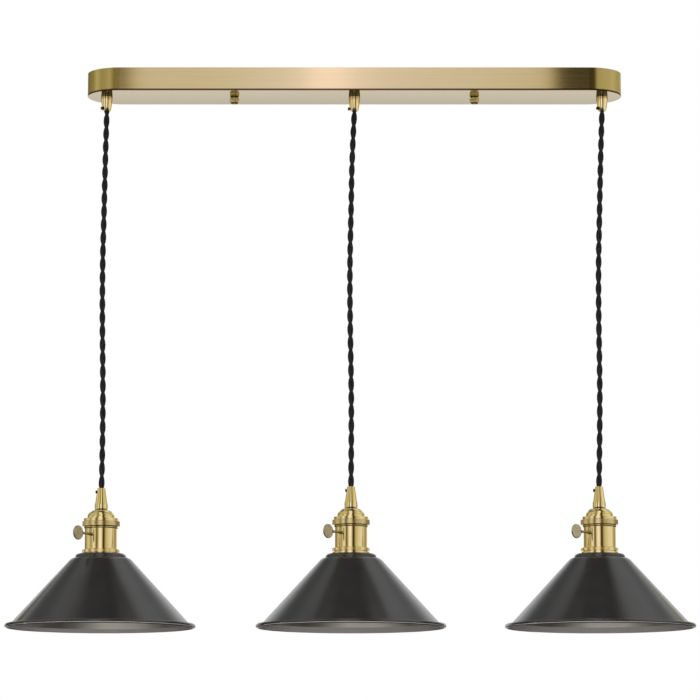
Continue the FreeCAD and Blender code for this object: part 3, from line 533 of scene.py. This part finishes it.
blackened, tree, shader = material("blackened_steel", Metallic=0.6)
oxide = noise(tree, node(tree, "ShaderNodeTexCoord").outputs["Object"], OXIDE_GRAIN, 4.0)
feed(tree, shader, Base_Color=ramp(tree, oxide, [(0.3, OXIDE_DARK), (0.7, OXIDE_LIGHT)]),
     Roughness=between(tree, oxide, *OXIDE_GLOSS))
polished = brass("polished_brass", BRASS_LIGHT, BRASS_DARK, POLISH)
grip_brass = brass("grip_brass", GRIP_LIGHT, GRIP_DARK, POLISH)
for side in SIDES:
    dress(f"canopy_grip_{side}", grip_brass)
dress("canopy_grip_nuts", polished)
dress("canopy_grip_screws", blackened)

# The terminal block under the strap: three poles of white moulded plastic, with zinc-plated screws.
# The flexes' cores and the supply wires meet in it.
PLASTIC_DARK = (0.78, 0.78, 0.75)
PLASTIC_LIGHT = (0.86, 0.86, 0.84)
PLASTIC_GLOSS = (0.35, 0.5)
PLASTIC_FLOW = 80.0
PLASTIC_GRAIN = 900.0

moulded, tree, shader = material("terminal_plastic", Specular_IOR_Level=0.45)
place = node(tree, "ShaderNodeTexCoord").outputs["Object"]
flow = noise(tree, place, PLASTIC_FLOW)
feed(tree, shader, Base_Color=ramp(tree, flow, [(0.3, PLASTIC_DARK), (0.7, PLASTIC_LIGHT)]),
     Roughness=between(tree, noise(tree, place, PLASTIC_GRAIN), *PLASTIC_GLOSS))
dress("terminal_block", moulded)
dress("terminal_screws", zinc)

# The lampholders' upper pieces: a tapered grip with its blackened screw, on a pressed cap with a
# barrel neck and a dome, all polished brass.
for side in SIDES:
    dress(f"lamp_grip_{side}", grip_brass)
    dress(f"lamp_grip_screw_{side}", blackened)
    dress(f"socket_cap_{side}", polished)

# The union rings: turned brass with a knurled band, dulled by wear, which screw on to the shells and
# hold the caps down. Painted shade darkens each band towards its right side.
UNION_BAND = (-0.0497, -0.0430)
UNION_BAND_R = 0.0239
UNION_BAND_GAP = 0.0006
RING_RIBS = 140
RING_RIB_R = 0.0005
RING_RIB_SINK = 0.0003
WORN_LIGHT = (0.74, 0.59, 0.30)
WORN_DARK = (0.64, 0.50, 0.24)
WORN_GLOSS = (0.34, 0.46)
PAINTED_SHADE_FROM = 0.004
PAINTED_SHADE_TO = 0.007
PAINTED_SHADE_SHARE = 0.66


def band_painted_shade(side):
    """Painted shade on a band's brass: darker to the right of its middle."""
    start, end = LAMP_X[side] + PAINTED_SHADE_FROM, LAMP_X[side] + PAINTED_SHADE_TO
    return lambda tree: spread(tree, parts(tree, node(tree, "ShaderNodeTexCoord").outputs["Object"])["X"],
                               start, end, 1.0, PAINTED_SHADE_SHARE)


def ring_ribs(name, side, band, radius, gap, finish):
    """The ribs round the band of a lamp's ring, shorter than the band by a gap."""
    return grown(name, upright_ribs, {
        "Ribs": RING_RIBS, "Ring Radius": radius - RING_RIB_SINK, "Rib Radius": RING_RIB_R,
        "Rib Length": band[1] - band[0] - gap, "Rings": 1,
        "First Ring": (LAMP_X[side], 0, LAMP_Z[side] + sum(band) / 2), "Ring Spacing": 0.0,
        "Material": finish})


for side in SIDES:
    dress(f"union_ring_{side}", polished)
    worn_and_shaded = brass(f"worn_shaded_brass_{side}", WORN_LIGHT, WORN_DARK, WORN_GLOSS, painted_light=band_painted_shade(side))
    ribs = ring_ribs(f"union_ring_knurls_{side}", side, UNION_BAND, UNION_BAND_R, UNION_BAND_GAP, worn_and_shaded)
    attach(ribs, f"lamp_{side}")

# The shells: drawn brass tubes, polished, each with a slot for the key and a threaded skirt below that
# carries the shade.
for side in SIDES:
    dress(f"socket_shell_{side}", polished)

# The switch keys: flat round paddles of cast brass on stems, duller than the rest and a little pitted,
# and the steel spindles that they turn in the cores.
CAST_DARK = (0.50, 0.45, 0.27)
CAST_LIGHT = (0.70, 0.64, 0.42)
CAST_GLOSS = (0.45, 0.28)
PIT_GRAIN = 420.0
PIT_DEPTH = 0.0003

cast, tree, shader = material("cast_brass", Metallic=1.0)
pits = noise(tree, node(tree, "ShaderNodeTexCoord").outputs["Object"], PIT_GRAIN, 5.0, 0.65)
feed(tree, shader, Base_Color=ramp(tree, pits, [(0.3, CAST_DARK), (0.7, CAST_LIGHT)]),
     Roughness=between(tree, pits, *CAST_GLOSS), Normal=dents(tree, pits, 0.35, PIT_DEPTH))
for side in SIDES:
    dress(f"switch_key_{side}", cast)
    dress(f"switch_spindle_{side}", zinc)

# The cores: unglazed white porcelain with a few dark specks, which carry the spring contact and the
# screw shell for the bulb. A sleeve of tan fibre round each one keeps it from the shell.
SLEEVE_R = 0.0193
SPECK = (0.45, 0.42, 0.37)
WARE_DARK = (0.82, 0.80, 0.75)
WARE_LIGHT = (0.88, 0.87, 0.84)
FIBRE_DARK = (0.40, 0.31, 0.13)
FIBRE_LIGHT = (0.50, 0.39, 0.17)
WARE_GLOSS = (0.45, 0.65)
WARE_DEPTH = 0.0001
SPECK_GRAIN = 1100.0
FIBRE_GRAIN = 500.0
WARE_GRAIN = 600.0
CONTACT_LIGHT = (0.84, 0.72, 0.44)
CONTACT_DARK = (0.76, 0.62, 0.35)
CONTACT_GLOSS = (0.16, 0.28)

for side in SIDES:
    porcelain, tree, shader = material(f"porcelain_{side}", Specular_IOR_Level=0.4)
    place = node(tree, "ShaderNodeTexCoord").outputs["Object"]
    ware = ramp(tree, noise(tree, place, SPECK_GRAIN, 2.0, 0.4),
                [(0.22, SPECK), (0.30, WARE_DARK), (0.8, WARE_LIGHT)])
    fibre = ramp(tree, noise(tree, place, FIBRE_GRAIN, 4.0), [(0.3, FIBRE_DARK), (0.7, FIBRE_LIGHT)])
    centred = node(tree, "ShaderNodeMapping", Vector=place, Location=(-LAMP_X[side], 0, 0), Scale=(1, 1, 0))
    sleeved = maths(tree, "GREATER_THAN", vectors(tree, "LENGTH", centred.outputs["Vector"]), SLEEVE_R)
    feed(tree, shader, Base_Color=mixed(tree, sleeved, ware, fibre),
         Roughness=between(tree, noise(tree, place, FIBRE_GRAIN), *WARE_GLOSS),
         Normal=dents(tree, noise(tree, place, WARE_GRAIN, 4.0), 0.2, WARE_DEPTH))
    dress(f"socket_core_{side}", porcelain)
contact_brass = brass("contact_brass", CONTACT_LIGHT, CONTACT_DARK, CONTACT_GLOSS, wave=0.08)
for side in SIDES:
    dress(f"centre_contact_{side}", contact_brass)

# The screw shells: thin brass with a rolled thread for the bulb's cap. The thread stands in from the
# bore that the frame gives, and the wall goes with it.
THREAD_PITCH = 0.00362
THREAD_DEPTH = 0.0011
THREAD_FOOT = -0.1011
THREAD_TOP = -0.0794
SCREW_SHELL_R = 0.01335
SCREW_SHELL_WALL = 0.0004
THREAD_RUN_IN = 1 / 8
THREAD_SIDES = 60
THREAD_ROWS = 84


def screw_thread(x, z, name):
    """A thin tube with a rolled thread that rises from nothing at its foot and top, open at both."""
    verts, faces = [], []
    for wall in (0.0, SCREW_SHELL_WALL):
        for row in range(THREAD_ROWS + 1):
            share = row / THREAD_ROWS
            height = THREAD_FOOT + (THREAD_TOP - THREAD_FOOT) * share
            fade = min(1.0, share / THREAD_RUN_IN, (1 - share) / THREAD_RUN_IN)
            for k in range(THREAD_SIDES):
                a = 2 * math.pi * k / THREAD_SIDES
                wave = 0.5 - 0.5 * math.cos(2 * math.pi * height / THREAD_PITCH - a)
                r = SCREW_SHELL_R - THREAD_DEPTH * fade * wave + wall
                verts.append((x + r * math.cos(a), r * math.sin(a), z + height))
    rows = (THREAD_ROWS + 1) * THREAD_SIDES
    for row in range(THREAD_ROWS):
        for k in range(THREAD_SIDES):
            n = (k + 1) % THREAD_SIDES
            a, b = row * THREAD_SIDES + k, row * THREAD_SIDES + n
            faces.append((b, a, a + THREAD_SIDES, b + THREAD_SIDES))
            faces.append((rows + a, rows + b, rows + b + THREAD_SIDES, rows + a + THREAD_SIDES))
    top = THREAD_ROWS * THREAD_SIDES
    for k in range(THREAD_SIDES):
        n = (k + 1) % THREAD_SIDES
        faces.append((k, n, rows + n, rows + k))
        faces.append((top + n, top + k, rows + top + k, rows + top + n))
    return link_mesh(name, verts, faces)


for side in SIDES:
    thread = screw_thread(LAMP_X[side], LAMP_Z[side], f"rolled_thread_{side}")
    thread.data.materials.append(contact_brass)
    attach(thread, f"lamp_{side}")
    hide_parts(f"screw_shell_{side}")

# The rings on the skirts: above each shade a turned ring with a knurled band, with a washer under it on
# two of the lamps, and inside each shade a ring nut with a flange.
SHADE_RING_BAND = (-0.08355, -0.07965)
SHADE_RING_R = 0.02385
SHADE_RING_GAP = 0.0004
KNURL_GLOSS = (0.14, 0.22)

knurled = brass("knurled_brass", BRASS_LIGHT, BRASS_DARK, KNURL_GLOSS)
for side in SIDES:
    dress(f"shade_ring_{side}", polished)
    dress(f"shade_nut_{side}", polished)
    ribs = ring_ribs(f"shade_ring_knurls_{side}", side, SHADE_RING_BAND, SHADE_RING_R,
                     SHADE_RING_GAP, knurled)
    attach(ribs, f"lamp_{side}")

# The shades: spun steel with rolled rims, painted satin dark grey outside and warm grey inside. Above
# the rim the paint is told apart by which way a face looks, out from the cone or in, and round the rim
# by how far a face leans, which also draws a painted highlight in a thin line on the rim's lower
# outside. Painted light and shade inside go from the left of a shade to its right.
SHADE_OUT = (0.018, 0.018, 0.018)
SHADE_OUT_LIGHT = (0.026, 0.025, 0.024)
SHADE_IN = (0.48, 0.45, 0.405)
SHADE_IN_LIGHT = (0.56, 0.525, 0.475)
PAINT_GLOSS = (0.17, 0.23)
INSIDE_DULLER = 0.3
PAINT_CLOUDS = 40.0
PEEL_GRAIN = 900.0
PEEL_DEPTH = 0.0001
RIM_TONE = 0.85
RIM_PAINT_AND_HIGHLIGHT = [(0.0, 1), (0.20, 1), (0.22, 0), (0.385, 0), (0.395, 1), (0.44, 1), (0.45, 0)]
INSIDE_PAINTED_LIGHT = [(0.0, 0.62), (0.07, 0.60), (0.15, 0.29), (0.23, 0.22), (0.31, 0.40), (0.395, 0.90),
                (0.48, 1.42), (0.61, 1.40), (0.69, 1.30), (0.77, 0.84), (0.85, 0.42), (0.93, 0.64),
                (1.0, 0.66)]
CONE_OUT = 0.737
CONE_UP = 0.676
RIM_TOP = -0.1752


def greys(levels):
    """The stops of a ramp from (position, level)."""
    return [(at, (level,) * 3) for at, level in levels]


for side in SIDES:
    paint, tree, shader = material(f"shade_paint_{side}", Specular_IOR_Level=0.8)
    place = node(tree, "ShaderNodeTexCoord").outputs
    centred = node(tree, "ShaderNodeMapping", Vector=place["Object"],
                   Location=(-LAMP_X[side], 0, -LAMP_Z[side] - RIM_TOP))
    spot = parts(tree, centred.outputs["Vector"])
    flat = node(tree, "ShaderNodeCombineXYZ", X=spot["X"], Y=spot["Y"])
    round_out = vectors(tree, "NORMALIZE", flat.outputs["Vector"])
    cone_out = vectors(tree, "ADD", vectors(tree, "SCALE", round_out, CONE_OUT), (0, 0, CONE_UP))
    inwards = maths(tree, "LESS_THAN", vectors(tree, "DOT_PRODUCT", cone_out, place["Normal"]), 0.0)
    above_rim = maths(tree, "GREATER_THAN", spot["Z"], 0.0)
    # Round the rim the inside paint also draws a painted highlight, a thin light line on the lower outside.
    lean = maths(tree, "ARCTAN2", parts(tree, place["Normal"])["Z"],
                 vectors(tree, "DOT_PRODUCT", round_out, place["Normal"]))
    rim_inside_and_highlight = ramp(tree, maths(tree, "MULTIPLY_ADD", lean, 0.5 / math.pi, 0.5), greys(RIM_PAINT_AND_HIGHLIGHT))
    inside = node(tree, "ShaderNodeMix", {"data_type": "FLOAT"}, Factor=above_rim,
                  i2=rim_inside_and_highlight, i3=inwards).outputs[0]
    cloud = noise(tree, place["Object"], PAINT_CLOUDS, 5.0, 0.6)
    outer = ramp(tree, cloud, [(0.3, SHADE_OUT), (0.7, SHADE_OUT_LIGHT)])
    inner = ramp(tree, cloud, [(0.3, SHADE_IN), (0.7, SHADE_IN_LIGHT)])
    # Painted light and shade inside, from the left of the shade to its right: brightest in the middle, with
    # darker streaks to each side.
    sideways = maths(tree, "MULTIPLY_ADD", parts(tree, round_out)["X"], 0.5, 0.5)
    painted_light = mixed(tree, above_rim, (RIM_TONE,) * 3, ramp(tree, sideways, greys(INSIDE_PAINTED_LIGHT)))
    peel = noise(tree, place["Object"], PEEL_GRAIN, 2.0)
    gloss = maths(tree, "MULTIPLY_ADD", inside, INSIDE_DULLER, between(tree, peel, *PAINT_GLOSS))
    feed(tree, shader, Base_Color=mixed(tree, inside, outer, vectors(tree, "MULTIPLY", inner, painted_light)),
         Roughness=gloss, Normal=dents(tree, peel, 0.08, PEEL_DEPTH))
    dress(f"shade_{side}", paint)

# The room above and behind: a white background, and soft light that the brass mirrors from overhead.
# Its levels are (degrees from the camera's side towards the right, level), for the walls' top and the
# front half of the sky, and for the back half. Straight up it is dark.
TOP_WALL = [
    (-180, 0.50), (-130, 0.30), (-108, 0.54), (-85, 0.66), (-50, 0.64), (-34, 0.48), (-27, 0.26),
    (-22, 0.26), (-17, 0.72), (-8, 1.00), (6, 0.97), (9.5, 0.60), (12.5, 0.12), (26, 0.12), (33, 0.46),
    (50, 0.74), (78, 0.84), (98, 0.62), (118, 0.32), (140, 0.34), (180, 0.50),
]
BACK_SKY = [
    (-180, 1.05), (-160, 1.10), (-137, 1.10), (-122, 0.76), (-108, 0.26), (-92, 0.23), (-80, 0.29),
    (-66, 0.50), (-46, 0.50), (-27, 0.20), (-22, 0.20), (-17, 0.72), (-8, 1.00), (6, 0.97), (9.5, 0.60),
    (12.5, 0.12), (25, 0.16), (40, 0.80), (68, 0.78), (82, 0.62), (94, 0.44), (105, 0.46), (122, 0.92),
    (137, 1.12), (180, 1.10),
]
ZENITH = (0.970, 0.982)
ZENITH_LEVEL = 0.06
LOW_BEHIND = (0.34, 0.26)
SKY_REACH = 1.001


def wall_light(tree, share, levels, cast=(1.0, 1.0), width=360):
    """Light from levels by degrees, over a ramp some degrees wide. Brass mirrors brass in its darker
    parts, so there the light is yellower, unless it has no cast."""
    stops = []
    for degrees, level in levels:
        green = cast[0] * min(0.78 + 0.23 * level, 1.13 - 0.14 * level) if cast else 1.0
        blue = cast[1] * min(1.25, 0.44 + 0.10 * level + 0.66 * level**2) if cast else 1.0
        stops.append((degrees / width + 0.5, (level, level * green, level * blue)))
    return ramp(tree, share, stops)


def mirror_turn(tree, place, reach):
    """Twice the turn of a face that mirrors a place to the camera, as a share of a full turn. Light laid
    out by it makes upright streaks on a dome as well as on a tube."""
    slope = maths(tree, "DIVIDE", place["X"], maths(tree, "SUBTRACT", reach, place["Y"]))
    return maths(tree, "MULTIPLY_ADD", maths(tree, "ARCTANGENT", slope), 1 / math.pi, 0.5)


world = bpy.data.worlds.new("studio")
world.use_nodes = True
bpy.context.scene.world = world
tree = world.node_tree
direction = parts(tree, node(tree, "ShaderNodeTexCoord").outputs["Generated"])
turned = mirror_turn(tree, direction, SKY_REACH)
behind = maths(tree, "GREATER_THAN", direction["Y"], 0.0)
sky = mixed(tree, behind, wall_light(tree, turned, TOP_WALL), wall_light(tree, turned, BACK_SKY, cast=None))
sky = vectors(tree, "SCALE", sky, spread(tree, direction["Z"], *ZENITH, 1.0, ZENITH_LEVEL))
seen = node(tree, "ShaderNodeLightPath").outputs
mirrored = maths(tree, "ADD", seen["Is Glossy Ray"], seen["Is Transmission Ray"])
low_behind = maths(tree, "MULTIPLY", spread(tree, direction["Z"], *LOW_BEHIND), behind)
white_share = maths(tree, "MAXIMUM", maths(tree, "MULTIPLY", low_behind, mirrored), seen["Is Camera Ray"])
tree.links.new(mixed(tree, white_share, sky, (1, 1, 1)), tree.nodes["Background"].inputs["Color"])

# The floor: pale paper far below, which fades to the white of the background. Mirrored in brass it
# stays grey further out, and light that falls on it comes back dimmer than it looks.
FLOOR_Z = -1.35
FLOOR_HALF = 30
FLOOR_PALE = (0.86, 0.86, 0.85)
FLOOR_DIM = (0.12, 0.12, 0.12)
FLOOR_FADE = (1.8, 3.4)
MIRRORED_FADE = (3.6, 5.0)

corners = [(x * FLOOR_HALF, y * FLOOR_HALF, FLOOR_Z) for x, y in ((-1, -1), (1, -1), (1, 1), (-1, 1))]
floor = link_mesh("floor", corners, [(0, 1, 2, 3)], smooth=False)
paper, tree, shader = material("floor_paper", Roughness=0.9)
seen = node(tree, "ShaderNodeLightPath").outputs
feed(tree, shader, Base_Color=mixed(tree, seen["Is Camera Ray"], FLOOR_DIM, FLOOR_PALE))
far = vectors(tree, "LENGTH", node(tree, "ShaderNodeTexCoord").outputs["Object"])
mirrored = maths(tree, "ADD", seen["Is Glossy Ray"], seen["Is Transmission Ray"])
mirrored = maths(tree, "MULTIPLY", mirrored, spread(tree, far, *MIRRORED_FADE))
share = maths(tree, "MULTIPLY_ADD", seen["Is Camera Ray"], spread(tree, far, *FLOOR_FADE), mirrored)
white = node(tree, "ShaderNodeEmission", Color=(1, 1, 1, 1), Strength=1.0)
faded = node(tree, "ShaderNodeMixShader", i0=share, i1=shader.outputs["BSDF"], i2=white.outputs["Emission"])
tree.links.new(faded.outputs["Shader"], tree.nodes["Material Output"].inputs["Surface"])
floor.data.materials.append(paper)
floor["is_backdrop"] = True

# The walls: a ring of lit paper that the brass mirrors and the camera doesn't see. The lampholders mirror
# the low levels, the bar's round ends the high ones, and the bar's front mirrors a panel behind the
# camera, whose close levels need a ramp of their own.
WALL_R = 3.5
WALL_END = 150
WALL_STEP = 3
WALL_TOP = 3.2
WALL_BACK_TOP = 1.0
WALL_FALL_START = 95
WALL_FALL_WIDTH = 30
LAMP_MIDDLE_Z = -0.57
FOOT_ZONE = (-0.85, -0.65)
FOOT_LEVEL = 0.10
HIGH_ZONE = (0.50, 0.62)
TOP_ZONE = (1.08, 1.22)
HIGH_CAST = (1.04, 0.80)
PANEL_WIDTH = 24
LOW_WALL = [
    (-180, 0.70), (-150, 0.18), (-136, 0.21), (-120, 0.40), (-107, 0.62), (-96, 0.74), (-85, 0.65),
    (-76, 0.45), (-67, 0.45), (-59, 0.80), (-51, 0.98), (-43, 0.80), (-36, 0.28), (-29, 0.12),
    (-21, 0.59), (-14, 0.99), (-7, 1.07), (0, 1.04), (7, 0.60), (13, 0.05), (21, 0.05), (29, 0.40),
    (36, 0.62), (51, 0.72), (67, 0.86), (76, 0.86), (86, 0.88), (96, 0.84), (107, 0.55), (120, 0.39),
    (136, 0.44), (180, 0.75),
]
HIGH_WALL = [
    (-150, 0.16), (-130, 0.28), (-117, 0.35), (-106, 0.38), (-88, 0.67), (-71, 0.49), (-56, 0.47),
    (-42, 0.60), (-35, 0.50), (-28, 0.33), (-12, 0.24), (12, 0.07), (24, 0.09), (28, 0.14), (34, 0.46),
    (40, 0.58), (72, 0.62), (93, 0.70), (120, 0.55),
]
BAR_PANEL = [
    (-9.5, 0.24), (-9.0, 0.26), (-8.9, 0.28), (-8.72, 0.34), (-8.57, 0.60), (-8.4, 0.76), (-8.1, 0.86),
    (-7.8, 0.89), (-6.4, 0.89), (-5.6, 0.90), (-4.8, 0.93), (-3.3, 1.03), (-2.5, 1.11), (-1.95, 1.22),
    (-1.68, 1.38), (-1.45, 1.48), (-1.05, 1.52), (-0.6, 1.49), (-0.3, 1.43), (-0.05, 1.31), (0.3, 1.21),
    (0.65, 1.16), (1.4, 1.07), (3.0, 1.00), (4.6, 0.98), (6.3, 0.92), (7.0, 0.90), (7.5, 0.83), (7.7, 0.64),
    (7.95, 0.18), (8.3, 0.07), (8.9, 0.06),
]

wall_verts, wall_faces = [], []
for degrees in range(-WALL_END, WALL_END + 1, WALL_STEP):
    a = math.radians(degrees)
    lowered = min(1.0, max(0.0, (abs(degrees) - WALL_FALL_START) / WALL_FALL_WIDTH))
    top = WALL_TOP + (WALL_BACK_TOP - WALL_TOP) * lowered
    wall_verts += [(WALL_R * math.sin(a), -WALL_R * math.cos(a), z) for z in (FLOOR_Z, top)]
    if degrees > -WALL_END:
        n = len(wall_verts)
        wall_faces.append((n - 4, n - 3, n - 1, n - 2))
walls = link_mesh("paper_walls", wall_verts, wall_faces)
walls.visible_camera = False
lit, tree, shader = material("lit_paper")
tree.nodes.remove(shader)
place = parts(tree, node(tree, "ShaderNodeTexCoord").outputs["Object"])
angle = maths(tree, "ARCTAN2", place["X"], maths(tree, "MULTIPLY", place["Y"], -1.0))
share = maths(tree, "MULTIPLY_ADD", angle, 0.5 / math.pi, 0.5)
off_middle = maths(tree, "SUBTRACT", share, 0.5)
in_panel = maths(tree, "LESS_THAN", maths(tree, "ABSOLUTE", off_middle), 0.5 * PANEL_WIDTH / 360)
panel_share = maths(tree, "MULTIPLY_ADD", off_middle, 360 / PANEL_WIDTH, 0.5)
high = mixed(tree, in_panel, wall_light(tree, share, HIGH_WALL, HIGH_CAST),
             wall_light(tree, panel_share, BAR_PANEL, width=PANEL_WIDTH))
from_lamps = node(tree, "ShaderNodeCombineXYZ", X=place["X"], Y=place["Y"],
                  Z=maths(tree, "SUBTRACT", place["Z"], LAMP_MIDDLE_Z))
turned = mirror_turn(tree, place, vectors(tree, "LENGTH", from_lamps.outputs["Vector"]))
glow = wall_light(tree, share, LOW_WALL)
for upper, zone in ((high, HIGH_ZONE), (wall_light(tree, turned, TOP_WALL), TOP_ZONE)):
    glow = mixed(tree, spread(tree, place["Z"], *zone), glow, upper)
glow = vectors(tree, "SCALE", glow, spread(tree, place["Z"], *FOOT_ZONE, FOOT_LEVEL, 1.0))
light = node(tree, "ShaderNodeEmission", Color=glow, Strength=1.0)
tree.links.new(light.outputs["Emission"], tree.nodes["Material Output"].inputs["Surface"])
walls.data.materials.append(lit)
walls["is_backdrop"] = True

# A large soft lamp low in front of the object lights the shades from inside. The brass doesn't mirror
# it, and the camera doesn't see it.
SOFT_LAMP_SIZE = 1.8
SOFT_LAMP_POWER = 83.0
SOFT_LAMP_PLACE = (0.0, -2.6, -1.15)
SOFT_LAMP_TILT = math.radians(102)

lamp = bpy.data.objects.new("low_soft_lamp", bpy.data.lights.new("low_soft_lamp", "AREA"))
lamp.data.shape = "DISK"
lamp.data.size = SOFT_LAMP_SIZE
lamp.data.energy = SOFT_LAMP_POWER
lamp.location = SOFT_LAMP_PLACE
lamp.rotation_euler = (SOFT_LAMP_TILT, 0, 0)
lamp.visible_glossy = False
lamp.visible_camera = False
bpy.context.scene.collection.objects.link(lamp)

low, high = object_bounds()
